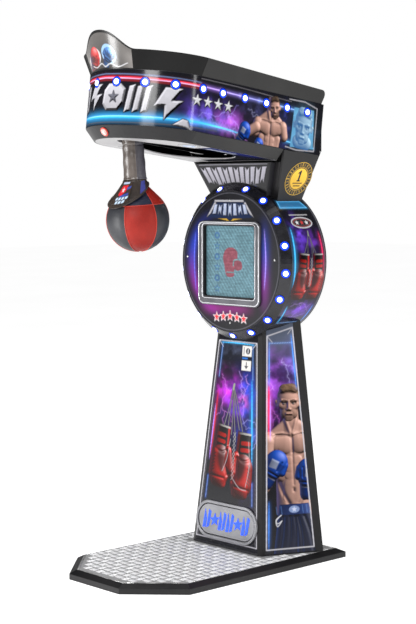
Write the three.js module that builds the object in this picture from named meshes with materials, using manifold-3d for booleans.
// Boxing punch machine: platform, column, round display drum, neck and an overhanging head
// with a punch ball that swings up into it. Millimetres, +Z up, the front faces -Y,
// origin on the floor under the middle of the platform.
import * as THREE from "three";
import { mergeVertices } from "three/addons/utils/BufferGeometryUtils.js";
import Module from "manifold-3d";

const wasm = await Module();
wasm.setup();

const GAP = 0.3; // clearance kept between pieces that touch

// Platform
const BASE_WIDTH = 700;
const BASE_LENGTH = 1088;
const BASE_CHAMFER = 194;
const BASE_HEIGHT = 21;
const TRIM_TOP = 37.4;
const TRIM_INSET = 28.6;
const TREAD_TOP = 36;

// Column: tapers from its foot to the drum, widening to the rear
const COLUMN_FOOT = TREAD_TOP + GAP;
const COLUMN_REF_LOW = 37;
const COLUMN_REF_HIGH = 926;
const COLUMN_FRONT_HALF = [207, 133];
const COLUMN_FRONT_Y = [172, 248];
const COLUMN_REAR_HALF = [320.5, 208];
const COLUMN_REAR_Y = [436, 421];
const PANEL = 12; // panel thickness
const CORNER_BEVEL = 14;
const CORNER_STRIP = 24;
const REAR_STRIP = 34;

// Service door in the back of the column
const DOOR_HALF = 120;
const DOOR_LOW = 300;
const DOOR_HIGH = 720;
const DOOR_GAP = 1.5;
const LOCK_X = 98;
const LOCK_Z = 510;

// Emblem plate near the foot of the column
const EMBLEM_Z = 148;
const EMBLEM_WIDTH = 372;
const EMBLEM_HEIGHT = 160;

// Drum, axis along Y
const DRUM_Z = 1255;
const DISC_R = 297.5;
const DISC_Y = 200;
const DISC_THICK = 6;
const FLANGE_R = 329;
const FLANGE_Y = 235;
const SHELL_R = 316;
const SHELL_WALL = 4;
const SHELL_END_Y = 455;
const LIGHT_COUNT = 17;
const LIGHT_STEP = (20.7 * Math.PI) / 180;
const LIGHT_R = 312;

// Display opening and its bezel
const BEZEL_WIDTH = 374;
const BEZEL_HEIGHT = 356;
const BEZEL_Z = 1248;
const BEZEL_DEPTH = 12;
const OPENING_WIDTH = 312;
const OPENING_HEIGHT = 306;
const OPENING_Z = 1256;

// Neck between the drum and the head
const NECK_TOP = 1711;
const NECK_LOW = 1496;
const NECK_HALF_TOP = 285;
const NECK_SIDE_SLOPE = 0.466;
const NECK_FRONT_TOP_Y = 229;
const NECK_FRONT_SLOPE = 0.29;
const NECK_REAR_TOP_Y = 449;
const NECK_REAR_SLOPE = 0.09;
const SIGN_PROUD = 30;

// Head: a box tilted up towards the front; v runs rearwards and w upwards in its own frame
const HEAD_TILT = (6.84 * Math.PI) / 180;
const HEAD_Z = 1747;
const HEAD_HALF = 286;
const HEAD_CREASE_V = -250;
const HEAD_NOSE = 240;
const NOSE_POWER = 1.8; // 2 would be a half ellipse; less is more pointed
const HEAD_REAR_Y = 451;
const HEAD_WALL = 10;
const BAND_HEIGHT = 216;
const LOWER_DROP = 44;
const LOWER_INSET = 36;
const LOWER_WALL = 5;
const PLATE_THICK = 4;
const RIM_FLARE = 0.46;
const WING_FLARE = 0.38;
const RIM_THICK = 6;
const RIM_HEIGHT_REAR = 51;
const RIM_HEIGHT_NOSE = 72;
const RIM_CORNER_R = 26;
const WING_HEIGHT = 70;
const WING_SPAN = (31 * Math.PI) / 180; // half angle of the raised wing round the nose

// Slot the ball swings up through: a wide round end and a narrow round end
const SLOT_WIDE_V = -18;
const SLOT_WIDE_R = 182;
const SLOT_NARROW_V = -338;
const SLOT_NARROW_R = 54;

// Swinging bag
const PIVOT_Y = -334;
const PIVOT_Z = 1800;
const BAG_LEAN = (4.4 * Math.PI) / 180;
const BALL_DROP = 364;
const BALL_R = 126;
const SHAFT_R = 12;
const ARM_R = 16;
const BEAM_HALF = 212;

// Start button in the sloping lower rim
const BUTTON_R = 14;
const BUTTON_HOLE_R = 15;

const COS = Math.cos(HEAD_TILT);
const SIN = Math.sin(HEAD_TILT);

const point = (x, y, z) => new THREE.Vector3(x, y, z);
const mix = ([low, high], t) => low + (high - low) * t;
const steps = (count) => Array.from({ length: count + 1 }, (_, i) => i / count);

// ---------- shape helpers ----------

function capIndex(loop, offset) {
  const normal = point(0, 0, 0);
  loop.forEach((p, i) => normal.add(p.clone().cross(loop[(i + 1) % loop.length])));
  normal.normalize();
  const u = Math.abs(normal.z) < 0.9 ? point(0, 0, 1) : point(1, 0, 0);
  u.cross(normal).normalize();
  const v = normal.clone().cross(u);
  const flat = loop.map((p) => new THREE.Vector2(p.dot(u), p.dot(v)));
  return THREE.ShapeUtils.triangulateShape(flat, []).map((t) => t.map((i) => i + offset));
}

// Closed body through matching cross-sections, each a loop of points
function skin(sections, closed = false) {
  const size = sections[0].length;
  const count = sections.length;
  const index = [];
  const spans = closed ? count : count - 1;
  for (let s = 0; s < spans; s += 1) {
    const a = s * size;
    const b = ((s + 1) % count) * size;
    for (let i = 0; i < size; i += 1) {
      const j = (i + 1) % size;
      index.push(a + i, a + j, b + j, a + i, b + j, b + i);
    }
  }
  if (!closed) {
    const last = (count - 1) * size;
    capIndex(sections[0], 0).forEach(([a, b, c]) => index.push(a, c, b));
    capIndex(sections[count - 1], last).forEach((t) => index.push(...t));
  }
  const geometry = new THREE.BufferGeometry();
  const flat = sections.flat().flatMap((p) => [p.x, p.y, p.z]);
  geometry.setAttribute("position", new THREE.Float32BufferAttribute(flat, 3));
  geometry.setIndex(index);
  return geometry;
}

function signedVolume(geometry) {
  const { position } = geometry.attributes;
  const index = geometry.index.array;
  const [a, b, c] = [point(0, 0, 0), point(0, 0, 0), point(0, 0, 0)];
  let volume = 0;
  for (let i = 0; i < index.length; i += 3) {
    a.fromBufferAttribute(position, index[i]);
    b.fromBufferAttribute(position, index[i + 1]);
    c.fromBufferAttribute(position, index[i + 2]);
    volume += a.dot(b.cross(c)) / 6;
  }
  return volume;
}

function outward(geometry) {
  if (signedVolume(geometry) >= 0) return geometry;
  const index = Array.from(geometry.index.array);
  for (let i = 0; i < index.length; i += 3) {
    [index[i + 1], index[i + 2]] = [index[i + 2], index[i + 1]];
  }
  geometry.setIndex(index);
  return geometry;
}

function welded(geometry) {
  const bare = geometry.clone();
  bare.deleteAttribute("normal");
  bare.deleteAttribute("uv");
  return outward(mergeVertices(bare, 1e-3));
}

function toManifold(geometry) {
  const bare = welded(geometry);
  return new wasm.Manifold(new wasm.Mesh({
    numProp: 3,
    vertProperties: new Float32Array(bare.attributes.position.array),
    triVerts: new Uint32Array(bare.index.array),
  }));
}

function fromManifold(solid) {
  const mesh = solid.getMesh();
  const geometry = new THREE.BufferGeometry();
  geometry.setAttribute("position", new THREE.Float32BufferAttribute(mesh.vertProperties, 3));
  geometry.setIndex(Array.from(mesh.triVerts));
  return geometry;
}

const cut = (geometry, ...tools) => fromManifold(
  tools.reduce((solid, tool) => solid.subtract(toManifold(tool)), toManifold(geometry)),
);

const join = (geometry, ...more) => fromManifold(
  more.reduce((solid, other) => solid.add(toManifold(other)), toManifold(geometry)),
);

const mirrored = (geometry) => geometry.clone().scale(-1, 1, 1);

function box(x0, x1, y0, y1, z0, z1) {
  const geometry = new THREE.BoxGeometry(x1 - x0, y1 - y0, z1 - z0);
  return geometry.translate((x0 + x1) / 2, (y0 + y1) / 2, (z0 + z1) / 2);
}

// Cylinder from one point to another
function rod(from, to, radius, segments = 32) {
  const along = to.clone().sub(from);
  const geometry = new THREE.CylinderGeometry(radius, radius, along.length(), segments);
  const turn = new THREE.Quaternion().setFromUnitVectors(point(0, 1, 0), along.normalize());
  return geometry.applyQuaternion(turn).translate(
    (from.x + to.x) / 2, (from.y + to.y) / 2, (from.z + to.z) / 2,
  );
}

function plate(outline, low, high) {
  return skin([low, high].map((z) => outline.map(([x, y]) => point(x, y, z))));
}

function piece(name, geometry, color, roughness, metalness) {
  const body = welded(geometry);
  body.computeVertexNormals();
  const material = new THREE.MeshStandardMaterial({ color, roughness, metalness });
  const mesh = new THREE.Mesh(body, material);
  mesh.name = name;
  return mesh;
}

const black = (name, geometry) => piece(name, geometry, 0x1c1d20, 0.45, 0.2);
const printed = (name, geometry) => piece(name, geometry, 0x3b3550, 0.3, 0.0);
const silver = (name, geometry) => piece(name, geometry, 0xb9b8bd, 0.3, 0.9);
const steel = (name, geometry) => piece(name, geometry, 0x8c8f94, 0.35, 1.0);

// ---------- platform ----------

function baseOutline() {
  const x = BASE_WIDTH / 2;
  const y = BASE_LENGTH / 2;
  return [
    [x, y], [-x, y], [-x, BASE_CHAMFER - y], [BASE_CHAMFER - x, -y],
    [x - BASE_CHAMFER, -y], [x, BASE_CHAMFER - y],
  ];
}

// Convex outline moved inwards by a distance
function inset(outline, distance) {
  const count = outline.length;
  const normals = outline.map(([x, y], i) => {
    const [nx, ny] = outline[(i + 1) % count];
    const edge = new THREE.Vector2(nx - x, ny - y).normalize();
    return new THREE.Vector2(-edge.y, edge.x);
  });
  return outline.map(([x, y], i) => {
    const a = normals[(i + count - 1) % count];
    const b = normals[i];
    const k = distance / (1 + a.dot(b));
    return [x + (a.x + b.x) * k, y + (a.y + b.y) * k];
  });
}

function trimPiece(outer, inner, i) {
  const j = (i + 1) % outer.length;
  const along = new THREE.Vector2(outer[j][0] - outer[i][0], outer[j][1] - outer[i][1]).normalize();
  const section = (k, sign) => {
    const shift = (p) => [p[0] + along.x * GAP * sign, p[1] + along.y * GAP * sign];
    const [ox, oy] = shift(outer[k]);
    const [ix, iy] = shift(inner[k]);
    return [
      point(ox, oy, BASE_HEIGHT + GAP), point(ox, oy, BASE_HEIGHT + GAP + 1.5),
      point(ix, iy, TRIM_TOP), point(ix, iy, BASE_HEIGHT + GAP),
    ];
  };
  return skin([section(i, 1), section(j, -1)]);
}

function platform() {
  const outer = baseOutline();
  const inner = inset(outer, TRIM_INSET);
  const tread = plate(inset(outer, TRIM_INSET + GAP), BASE_HEIGHT + GAP, TREAD_TOP);
  const names = ["trim_rear", "trim_left", "trim_front_left", "trim_front", "trim_front_right", "trim_right"];
  return [
    black("platform_base", plate(outer, 0, BASE_HEIGHT)),
    piece("tread_plate", tread, 0xc3c4c8, 0.35, 0.9),
    ...names.map((name, i) => black(name, trimPiece(outer, inner, i))),
  ];
}

// ---------- column ----------

// Right-hand side of the column's plan at a height
function columnPlan(z) {
  const t = (z - COLUMN_REF_LOW) / (COLUMN_REF_HIGH - COLUMN_REF_LOW);
  const front = new THREE.Vector2(mix(COLUMN_FRONT_HALF, t), mix(COLUMN_FRONT_Y, t));
  const rear = new THREE.Vector2(mix(COLUMN_REAR_HALF, t), mix(COLUMN_REAR_Y, t));
  const along = rear.clone().sub(front);
  const length = along.length();
  along.normalize();
  const inwards = new THREE.Vector2(-along.y, along.x);
  const at = (s, depth) => [
    front.x + along.x * s + inwards.x * depth, front.y + along.y * s + inwards.y * depth,
  ];
  return { front, rear, length, at };
}

function drumClearance() {
  const margin = 2 * GAP;
  const tall = rod(point(0, 100, DRUM_Z), point(0, FLANGE_Y + 1, DRUM_Z), FLANGE_R + margin, 96);
  const low = rod(point(0, 100, DRUM_Z), point(0, 600, DRUM_Z), SHELL_R + margin, 96);
  return join(tall, low);
}

function columnPiece(outlineAt, low = COLUMN_FOOT, high = 1040) {
  const loops = [low, high].map((z) => outlineAt(z).map(([x, y]) => point(x, y, z)));
  return high > DRUM_Z - FLANGE_R ? cut(skin(loops), drumClearance()) : skin(loops);
}

function frontPanelOutline(z) {
  const { front } = columnPlan(z);
  const half = front.x - CORNER_BEVEL;
  return [[-half, front.y], [half, front.y], [half, front.y + PANEL], [-half, front.y + PANEL]];
}

function cornerPostOutline(z) {
  const { front, at } = columnPlan(z);
  const start = front.x - CORNER_BEVEL + GAP;
  return [
    [start, front.y], at(8, 0), at(CORNER_STRIP, 0), at(CORNER_STRIP, PANEL), [start, front.y + PANEL],
  ];
}

function sidePanelOutline(z) {
  const { length, at } = columnPlan(z);
  const start = CORNER_STRIP + GAP;
  const end = length - REAR_STRIP - GAP;
  return [at(start, 1), at(end, 1), at(end, PANEL), at(start, PANEL)];
}

function rearPostOutline(z) {
  const { length, rear, at } = columnPlan(z);
  return [
    at(length - REAR_STRIP, 0), [rear.x, rear.y], [rear.x - 26, rear.y], at(length - REAR_STRIP, PANEL),
  ];
}

function rearPanelOutline(z) {
  const { rear } = columnPlan(z);
  const half = rear.x - 26 - 2 * GAP;
  return [[-half, rear.y - PANEL], [half, rear.y - PANEL], [half, rear.y], [-half, rear.y]];
}

function doorSlab(margin, outer, inner) {
  return columnPiece((z) => {
    const { y } = columnPlan(z).rear;
    const half = DOOR_HALF + margin;
    return [[-half, y - inner], [half, y - inner], [half, y + outer], [-half, y + outer]];
  }, DOOR_LOW - margin, DOOR_HIGH + margin);
}

function serviceDoor() {
  const rearY = (z) => columnPlan(z).rear.y;
  const hinge = rod(
    point(-DOOR_HALF + 3, rearY(DOOR_LOW + 10) + 3, DOOR_LOW + 10),
    point(-DOOR_HALF + 3, rearY(DOOR_HIGH - 10) + 3, DOOR_HIGH - 10), 5, 20,
  );
  const lockY = rearY(LOCK_Z);
  const hole = rod(point(LOCK_X, lockY - 40, LOCK_Z), point(LOCK_X, lockY + 10, LOCK_Z), 10, 24);
  return cut(join(doorSlab(0, 0, PANEL), hinge), hole);
}

function doorLock() {
  const y = columnPlan(LOCK_Z).rear.y;
  const barrel = rod(point(LOCK_X, y - 20, LOCK_Z), point(LOCK_X, y + 3, LOCK_Z), 9.6, 24);
  const cam = box(LOCK_X - 8, LOCK_X + 8, y - 20, y - 16, LOCK_Z - 9, LOCK_Z + 38);
  const keyway = box(LOCK_X - 1, LOCK_X + 1, y - 1, y + 5, LOCK_Z - 5, LOCK_Z + 5);
  return cut(join(barrel, cam), keyway);
}

function stadium(width, height) {
  const r = height / 2;
  const shape = new THREE.Shape();
  shape.absarc(width / 2 - r, 0, r, -Math.PI / 2, Math.PI / 2, false);
  shape.absarc(r - width / 2, 0, r, Math.PI / 2, (3 * Math.PI) / 2, false);
  return shape;
}

// Flat shape drawn in X and Z, stood against the leaning front of the column
function againstFront(shape, depth, bevel) {
  const geometry = new THREE.ExtrudeGeometry(shape, {
    depth: depth - 2 * bevel, bevelThickness: bevel, bevelSize: bevel, bevelOffset: -bevel,
    bevelSegments: 2, curveSegments: 14,
  });
  geometry.translate(0, 0, bevel).rotateX(Math.PI / 2);
  const lean = Math.atan2(COLUMN_FRONT_Y[1] - COLUMN_FRONT_Y[0], COLUMN_REF_HIGH - COLUMN_REF_LOW);
  const { front } = columnPlan(EMBLEM_Z);
  return geometry.rotateX(-lean).translate(0, front.y - GAP, EMBLEM_Z);
}

function emblem() {
  const rim = stadium(EMBLEM_WIDTH, EMBLEM_HEIGHT);
  rim.holes.push(stadium(EMBLEM_WIDTH - 26, EMBLEM_HEIGHT - 26));
  return [
    silver("emblem_frame", againstFront(rim, 9, 2)),
    silver("emblem_plate", againstFront(stadium(EMBLEM_WIDTH - 32, EMBLEM_HEIGHT - 32), 6, 1.5)),
  ];
}

function powerInlet() {
  const z = 90;
  const y = columnPlan(z).rear.y + 2 * GAP;
  return cut(box(150, 200, y, y + 5, z - 16, z + 16), box(160, 190, y + 1.5, y + 6, z - 11, z + 11));
}

function column() {
  const side = columnPiece(sidePanelOutline);
  const cornerPost = columnPiece(cornerPostOutline);
  const rearPost = columnPiece(rearPostOutline);
  const rearPanel = cut(columnPiece(rearPanelOutline), doorSlab(DOOR_GAP, 20, 40));
  return [
    printed("column_front_panel", columnPiece(frontPanelOutline)),
    printed("column_side_right", side),
    printed("column_side_left", mirrored(side)),
    black("corner_post_right", cornerPost),
    black("corner_post_left", mirrored(cornerPost)),
    black("rear_post_right", rearPost),
    black("rear_post_left", mirrored(rearPost)),
    black("column_rear_panel", rearPanel),
    black("service_door", serviceDoor()),
    steel("door_lock", doorLock()),
    ...emblem(),
    steel("power_supply", box(-70, 70, 290, 390, COLUMN_FOOT, 120)),
    black("power_inlet", powerInlet()),
  ];
}

// ---------- drum ----------

const onDrum = (radius, angle, y) => point(
  radius * Math.sin(angle), y, DRUM_Z + radius * Math.cos(angle),
);

// Ring round the drum's axis from a closed profile of [radius, y]
function drumRing(profile, segments = 96) {
  const angles = steps(segments).slice(0, -1).map((t) => t * 2 * Math.PI);
  return skin(angles.map((a) => profile.map(([r, y]) => onDrum(r, a, y))), true);
}

function drumLightAngles() {
  const first = -((LIGHT_COUNT - 1) / 2) * LIGHT_STEP;
  return Array.from({ length: LIGHT_COUNT }, (_, i) => Math.PI + first + i * LIGHT_STEP);
}

function lightRing() {
  const edge = DISC_R + GAP;
  const ring = drumRing([[edge, DISC_Y], [FLANGE_R, FLANGE_Y], [edge, FLANGE_Y]]);
  const slope = Math.atan2(FLANGE_R - edge, FLANGE_Y - DISC_Y);
  const surfaceY = DISC_Y + (LIGHT_R - edge) / Math.tan(slope);
  const stud = (angle) => {
    const out = (d) => onDrum(LIGHT_R + d * Math.cos(slope), angle, surfaceY - d * Math.sin(slope));
    return rod(out(-4), out(3), 9, 14);
  };
  return join(ring, ...drumLightAngles().map(stud));
}

function roundedRect(width, height, radius) {
  const [x, y] = [width / 2 - radius, height / 2 - radius];
  const shape = new THREE.Shape();
  shape.absarc(x, y, radius, 0, Math.PI / 2, false);
  shape.absarc(-x, y, radius, Math.PI / 2, Math.PI, false);
  shape.absarc(-x, -y, radius, Math.PI, 1.5 * Math.PI, false);
  shape.absarc(x, -y, radius, 1.5 * Math.PI, 2 * Math.PI, false);
  return shape;
}

function screenBezel() {
  const opening = new THREE.Path(roundedRect(OPENING_WIDTH, OPENING_HEIGHT, 12).getPoints(6)
    .map((p) => new THREE.Vector2(p.x, p.y + OPENING_Z - BEZEL_Z)));
  const frame = roundedRect(BEZEL_WIDTH, BEZEL_HEIGHT, 32);
  frame.holes.push(opening);
  const bevel = 3;
  const geometry = new THREE.ExtrudeGeometry(frame, {
    depth: BEZEL_DEPTH - 2 * bevel, bevelThickness: bevel, bevelSize: bevel, bevelOffset: -bevel,
    bevelSegments: 3, curveSegments: 8,
  });
  return geometry.translate(0, 0, bevel).rotateX(Math.PI / 2).translate(0, DISC_Y - GAP, BEZEL_Z);
}

function drum() {
  const disc = rod(point(0, DISC_Y, DRUM_Z), point(0, DISC_Y + DISC_THICK, DRUM_Z), DISC_R, 96);
  const [w, h] = [OPENING_WIDTH / 2, OPENING_HEIGHT / 2];
  const window = box(-w, w, DISC_Y - 5, DISC_Y + 20, OPENING_Z - h, OPENING_Z + h);
  const displayY = DISC_Y + DISC_THICK + GAP;
  const display = box(-w - 10, w + 10, displayY, displayY + 24, OPENING_Z - h - 10, OPENING_Z + h + 10);
  const shellStart = FLANGE_Y + GAP;
  const shell = drumRing([
    [SHELL_R, shellStart], [SHELL_R, SHELL_END_Y - 8], [SHELL_R - 2, SHELL_END_Y],
    [SHELL_R - SHELL_WALL, SHELL_END_Y], [SHELL_R - SHELL_WALL, shellStart],
  ]);
  const backR = SHELL_R - SHELL_WALL - GAP;
  return [
    printed("front_disc", cut(disc, window)),
    black("light_ring", lightRing()),
    printed("drum_shell", shell),
    black("drum_back", rod(point(0, SHELL_END_Y - 10, DRUM_Z), point(0, SHELL_END_Y - 4, DRUM_Z), backR, 96)),
    silver("screen_bezel", screenBezel()),
    piece("display_panel", display, 0x4a8088, 0.2, 0.0),
  ];
}

// ---------- neck ----------

const neckHalf = (z) => NECK_HALF_TOP - (NECK_TOP - z) * NECK_SIDE_SLOPE;
const neckFrontY = (z) => NECK_FRONT_TOP_Y + (NECK_TOP - z) * NECK_FRONT_SLOPE;
const neckRearY = (z) => NECK_REAR_TOP_Y - (NECK_TOP - z) * NECK_REAR_SLOPE;

function neckSide() {
  const outline = [
    [neckFrontY(NECK_TOP), NECK_TOP + 6.5], [NECK_FRONT_TOP_Y + 55, NECK_TOP], [NECK_REAR_TOP_Y, NECK_TOP],
    [neckRearY(NECK_LOW), NECK_LOW], [neckFrontY(NECK_LOW), NECK_LOW],
  ];
  const face = (depth) => outline.map(([y, z]) => point(neckHalf(z) - depth, y, z));
  return cut(skin([face(0), face(HEAD_WALL)]), drumClearance());
}

// Slab across the neck between two heights; `front` gives its Y and `half` its half width
function neckSlab(low, high, front, half, thick) {
  const loop = (z) => [
    point(-half(z), front(z), z), point(half(z), front(z), z),
    point(half(z), front(z) + thick, z), point(-half(z), front(z) + thick, z),
  ];
  return cut(skin([loop(low), loop(high)]), drumClearance());
}

function neck() {
  const side = neckSide();
  const between = (z) => neckHalf(z) - HEAD_WALL - GAP;
  const signHalf = (z) => 230 - (1677 - z) * 0.4545;
  const sign = neckSlab(1530, 1667, (z) => neckFrontY(z) - SIGN_PROUD, signHalf, SIGN_PROUD - GAP);
  return [
    black("neck_side_right", side),
    black("neck_side_left", mirrored(side)),
    black("neck_front", neckSlab(NECK_LOW, 1668, neckFrontY, between, 8)),
    printed("neck_sign", sign),
    black("neck_rear", neckSlab(NECK_LOW, NECK_TOP, (z) => neckRearY(z) - 8, between, 8)),
  ];
}

// ---------- head ----------

const inHead = (x, v, w) => point(x, v * COS + w * SIN, HEAD_Z - v * SIN + w * COS);
const headVAt = (y, w) => (y - w * SIN) / COS;

// Point on the rounded nose at an angle (0 = right crease, PI = left crease), moved outwards
function nose(angle, out) {
  const [c, s] = [Math.cos(angle), Math.sin(angle)];
  const side = Math.sign(c);
  const bent = (value, power) => Math.abs(value) ** (power / NOSE_POWER);
  const slope = 2 * NOSE_POWER - 2;
  const normal = new THREE.Vector2(
    (side * bent(c, slope)) / HEAD_HALF, -bent(s, slope) / HEAD_NOSE,
  ).normalize();
  return [
    side * HEAD_HALF * bent(c, 2) + normal.x * out,
    HEAD_CREASE_V - HEAD_NOSE * bent(s, 2) + normal.y * out,
  ];
}

// Wall round the nose; `section(angle)` gives a loop of [outwards, w]
function noseWall(section, count = 40) {
  const margin = 0.0012;
  const angles = steps(count).map((t) => margin + t * (Math.PI - 2 * margin));
  return skin(angles.map((a) => section(a).map(([out, w]) => {
    const [x, v] = nose(a, out);
    return inHead(x, v, w);
  })));
}

// Straight wall on the right-hand side; `section(v)` gives a loop of [outwards, w]
function sideWall(section, stations) {
  return skin(stations.map((v) => section(v).map(([out, w]) => inHead(HEAD_HALF + out, v, w))));
}

const bandSection = () => [[0, GAP], [0, BAND_HEIGHT], [-HEAD_WALL, BAND_HEIGHT], [-HEAD_WALL, GAP]];
const lowerSection = () => [
  [0, -GAP], [-LOWER_INSET, -LOWER_DROP], [-LOWER_INSET - LOWER_WALL, -LOWER_DROP], [-LOWER_WALL, -GAP],
];

const LIGHT_W = 168; // height of the lights on the band
const SIDE_LIGHTS_V = [-238, -133, -13, 107, 227, 347];
const NOSE_LIGHTS = [27, 51.5, 76, 104, 128.5, 153].map((deg) => (deg * Math.PI) / 180);

function bandStud(x, v, nx, nv) {
  const at = (d) => inHead(x + nx * d, v + nv * d, LIGHT_W);
  return rod(at(-4), at(3), 9, 12);
}

function noseBand() {
  const studs = NOSE_LIGHTS.map((a) => {
    const [x, v] = nose(a, 0);
    const [ox, ov] = nose(a, 1);
    return bandStud(x, v, ox - x, ov - v);
  });
  return join(noseWall(bandSection), ...studs);
}

function headSide() {
  const outline = [
    [HEAD_CREASE_V + GAP, GAP], [298, GAP], [headVAt(HEAD_REAR_Y, 20), 20],
    [headVAt(HEAD_REAR_Y, BAND_HEIGHT), BAND_HEIGHT], [HEAD_CREASE_V + GAP, BAND_HEIGHT],
  ];
  const face = (x) => outline.map(([v, w]) => inHead(x, v, w));
  const studs = SIDE_LIGHTS_V.map((v) => bandStud(HEAD_HALF, v, 1, 0));
  const below = box(0, 400, 0, 600, 1500, NECK_TOP + GAP);
  return cut(join(skin([face(HEAD_HALF), face(HEAD_HALF - HEAD_WALL)]), ...studs), below);
}

function rimHeight(v) {
  const t = (headVAt(HEAD_REAR_Y, BAND_HEIGHT) - v) / 900;
  return RIM_HEIGHT_REAR + (RIM_HEIGHT_NOSE - RIM_HEIGHT_REAR) * t;
}

function rimSection(height, wing = 0) {
  const base = BAND_HEIGHT + GAP;
  const out = height * RIM_FLARE + wing * WING_FLARE;
  const top = base + height + wing;
  return [[0, base], [out, top], [out - RIM_THICK, top], [-RIM_THICK, base]];
}

function sideRim() {
  const end = headVAt(HEAD_REAR_Y, BAND_HEIGHT);
  const arc = steps(6).map((t) => (t * Math.PI) / 2);
  const straight = [HEAD_CREASE_V + GAP, end - RIM_CORNER_R - 0.01];
  const corner = arc.map((a) => [
    end - RIM_CORNER_R + RIM_CORNER_R * Math.sin(a), RIM_CORNER_R * (1 - Math.cos(a)),
  ]);
  const stations = [...straight.map((v) => [v, 0]), ...corner];
  return skin(stations.map(([v, drop]) => rimSection(rimHeight(v) - drop)
    .map(([out, w]) => inHead(HEAD_HALF + out, v, w))));
}

function noseRim() {
  return noseWall((angle) => {
    const turn = Math.min(Math.abs(angle - Math.PI / 2) / WING_SPAN, 1) ** 1.3;
    const wing = WING_HEIGHT * Math.cos((turn * Math.PI) / 2) ** 2;
    return rimSection(rimHeight(nose(angle, 0)[1]), wing);
  }, 84);
}

function headLid() {
  const out = -HEAD_WALL - GAP;
  const end = headVAt(HEAD_REAR_Y - HEAD_WALL - 1, BAND_HEIGHT);
  const rim = steps(32).map((t) => nose(t * Math.PI, out));
  const outline = [...rim, [-HEAD_HALF - out, end], [HEAD_HALF + out, end]];
  return skin([204, 210].map((w) => outline.map(([x, v]) => inHead(x, v, w))));
}

function slotOutline() {
  const lean = Math.asin((SLOT_WIDE_R - SLOT_NARROW_R) / (SLOT_WIDE_V - SLOT_NARROW_V));
  const wide = steps(28).map((t) => lean * -1 + t * (Math.PI + 2 * lean));
  const narrow = steps(14).map((t) => Math.PI + lean + t * (Math.PI - 2 * lean));
  const on = (v, r) => (a) => [r * Math.cos(a), v + r * Math.sin(a)];
  return [...wide.map(on(SLOT_WIDE_V, SLOT_WIDE_R)), ...narrow.map(on(SLOT_NARROW_V, SLOT_NARROW_R))];
}

function underside() {
  const out = -LOWER_INSET - LOWER_WALL - GAP;
  const end = headVAt(NECK_FRONT_TOP_Y - 1, -LOWER_DROP);
  const rim = steps(36).map((t) => nose(t * Math.PI, out));
  const outline = [...rim, [-HEAD_HALF - out, end], [HEAD_HALF + out, end]];
  const top = PLATE_THICK - LOWER_DROP;
  const layer = (loop, low, high) => skin([low, high].map((w) => loop.map(([x, v]) => inHead(x, v, w))));
  return cut(layer(outline, top - PLATE_THICK, top), layer(slotOutline(), top - 20, top + 20));
}

// Frame of the start button: its middle on the sloping lower rim and the way it faces
function buttonFrame() {
  const slope = Math.hypot(LOWER_INSET, LOWER_DROP);
  const [nOut, nW] = [LOWER_DROP / slope, -LOWER_INSET / slope];
  const [, v] = nose(Math.PI / 2, -LOWER_INSET / 2);
  return (d) => inHead(0, v - nOut * d, -LOWER_DROP / 2 + nW * d);
}

function startButton() {
  const at = buttonFrame();
  const ringBody = cut(rod(at(GAP), at(4), BUTTON_R + 5, 32), rod(at(-2), at(6), BUTTON_R + 0.5, 32));
  return [
    piece("start_button", rod(at(-20), at(8), BUTTON_R, 32), 0xf2efe9, 0.3, 0.0),
    piece("button_ring", ringBody, 0xc8281e, 0.35, 0.0),
  ];
}

function head() {
  const side = headSide();
  const rim = sideRim();
  const lower = sideWall(lowerSection, [HEAD_CREASE_V + GAP, headVAt(NECK_FRONT_TOP_Y - 1, 0)]);
  const at = buttonFrame();
  const lowerNose = cut(noseWall(lowerSection), rod(at(-40), at(10), BUTTON_HOLE_R, 32));
  const half = HEAD_HALF - HEAD_WALL - GAP;
  const rear = box(-half, half, HEAD_REAR_Y - HEAD_WALL, HEAD_REAR_Y, NECK_TOP + GAP, 1950);
  return [
    printed("head_side_right", side),
    printed("head_side_left", mirrored(side)),
    printed("head_nose_band", noseBand()),
    black("head_rear", rear),
    black("head_lid", headLid()),
    black("rim_right", rim),
    black("rim_left", mirrored(rim)),
    black("rim_nose", noseRim()),
    black("lower_rim_right", lower),
    black("lower_rim_left", mirrored(lower)),
    black("lower_rim_nose", lowerNose),
    piece("underside_plate", underside(), 0xb4b2b4, 0.4, 0.3),
    ...startButton(),
  ];
}

// ---------- bag and its mechanism ----------

// Point in the bag's own frame: x across, y rearwards, down from the pivot
function onBag(x, y, drop) {
  const [c, s] = [Math.cos(BAG_LEAN), Math.sin(BAG_LEAN)];
  return point(x, PIVOT_Y + y * c + drop * s, PIVOT_Z + y * s - drop * c);
}

// Turned body on the bag's own axis from [radius, drop] pairs
function turned(profile, segments = 40) {
  const points = profile.map(([r, drop]) => new THREE.Vector2(r, -drop));
  const geometry = new THREE.LatheGeometry(points, segments);
  return geometry.rotateX(Math.PI / 2 + BAG_LEAN).translate(0, PIVOT_Y, PIVOT_Z);
}

function ballProfile() {
  const sphere = steps(20).map((t) => {
    const a = t * (Math.PI - 0.36);
    return [BALL_R * Math.sin(a), BALL_DROP + BALL_R * Math.cos(a)];
  });
  return [...sphere, [39, BALL_DROP - BALL_R - 4], [36, BALL_DROP - BALL_R - 18], [0, BALL_DROP - BALL_R - 18]];
}

function swingArm() {
  const hub = rod(onBag(-38, 0, 0), onBag(38, 0, 0), 26);
  const tube = rod(onBag(0, 0, 0), onBag(0, 0, BALL_DROP - BALL_R - 19), ARM_R, 28);
  const bore = rod(onBag(-60, 0, 0), onBag(60, 0, 0), SHAFT_R + GAP);
  return cut(join(hub, tube), bore);
}

function sleeveProfile() {
  const bore = ARM_R + 1;
  return [[bore, 40], [42, 40], [43, 60], [46, 202], [bore, 202], [bore, 40]];
}

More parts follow.
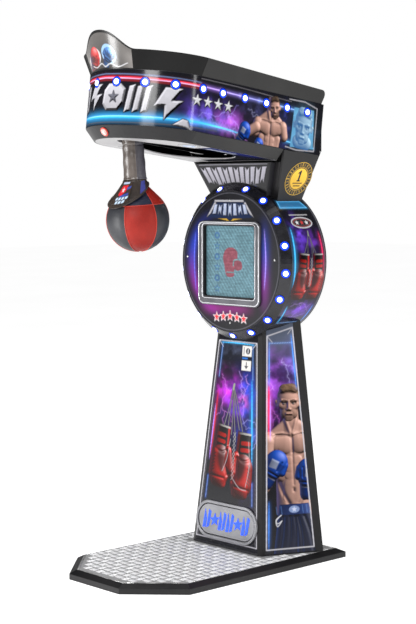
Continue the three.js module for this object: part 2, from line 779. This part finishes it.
// Leather skirt: a skewed cone over the front of the ball's crown
function skirt() {
  const ring = (count, centre, rx, ry, tip) => steps(count).slice(0, -1).map((t) => {
    const a = t * 2 * Math.PI;
    const [c, s] = [Math.cos(a), Math.sin(a)];
    return onBag(rx * s, centre[0] - ry * c, centre[1] + tip * c);
  });
  const count = 40;
  const wall = 4;
  const top = [0, 203];
  const low = [-40, 271];
  return skin([
    ring(count, top, 46, 46, 0), ring(count, low, 84, 84, 38),
    ring(count, low, 84 - wall, 84 - wall, 38), ring(count, top, 46 - wall, 46 - wall, 0),
  ], true);
}

function bag() {
  return [
    steel("pivot_shaft", rod(point(-96, PIVOT_Y, PIVOT_Z), point(96, PIVOT_Y, PIVOT_Z), SHAFT_R)),
    steel("swing_arm", swingArm()),
    piece("bag_sleeve", turned(sleeveProfile()), 0x6b615c, 0.7, 0.0),
    piece("bag_skirt", skirt(), 0x574c45, 0.7, 0.0),
    piece("punch_ball", turned(ballProfile(), 48), 0xa83a30, 0.55, 0.0),
  ];
}

function bearing() {
  const block = box(56, 88, PIVOT_Y - 30, PIVOT_Y + 30, PIVOT_Z - 24, PIVOT_Z + 33);
  return cut(block, rod(point(40, PIVOT_Y, PIVOT_Z), point(110, PIVOT_Y, PIVOT_Z), SHAFT_R + GAP));
}

// Lever that drops a foot under the raised sleeve to hold the ball up
function latchLever() {
  const [x, y, z] = [76, -215, 1880];
  const lever = join(box(x - 5, x + 5, y - 14, y + 14, z - 140, z + 12), box(x - 40, x, y - 14, y + 14, z - 140, z - 131));
  const pinned = join(lever, rod(point(x, y - 30, z), point(x, y + 30, z), 6, 20));
  pinned.translate(-x, 0, -z).rotateY((-22 * Math.PI) / 180).translate(x, 0, z);
  return pinned;
}

function mechanism() {
  const block = bearing();
  const beam = box(-BEAM_HALF, BEAM_HALF, PIVOT_Y - 34, PIVOT_Y + 34, PIVOT_Z + 33 + GAP, PIVOT_Z + 73);
  const pad = skin([188, 203.5].map((w) => [[-90, -60], [90, -60], [90, 120], [-90, 120]]
    .map(([x, v]) => inHead(x, v, w))));
  return [
    steel("cross_beam", beam),
    steel("bearing_right", block),
    steel("bearing_left", mirrored(block)),
    piece("bump_pad", pad, 0x222222, 0.9, 0.0),
    steel("latch_lever", latchLever()),
  ];
}

const machine = new THREE.Group();
machine.name = "boxing_punch_machine";
machine.add(...platform(), ...column(), ...drum(), ...neck(), ...head(), ...bag(), ...mechanism());

export default machine;
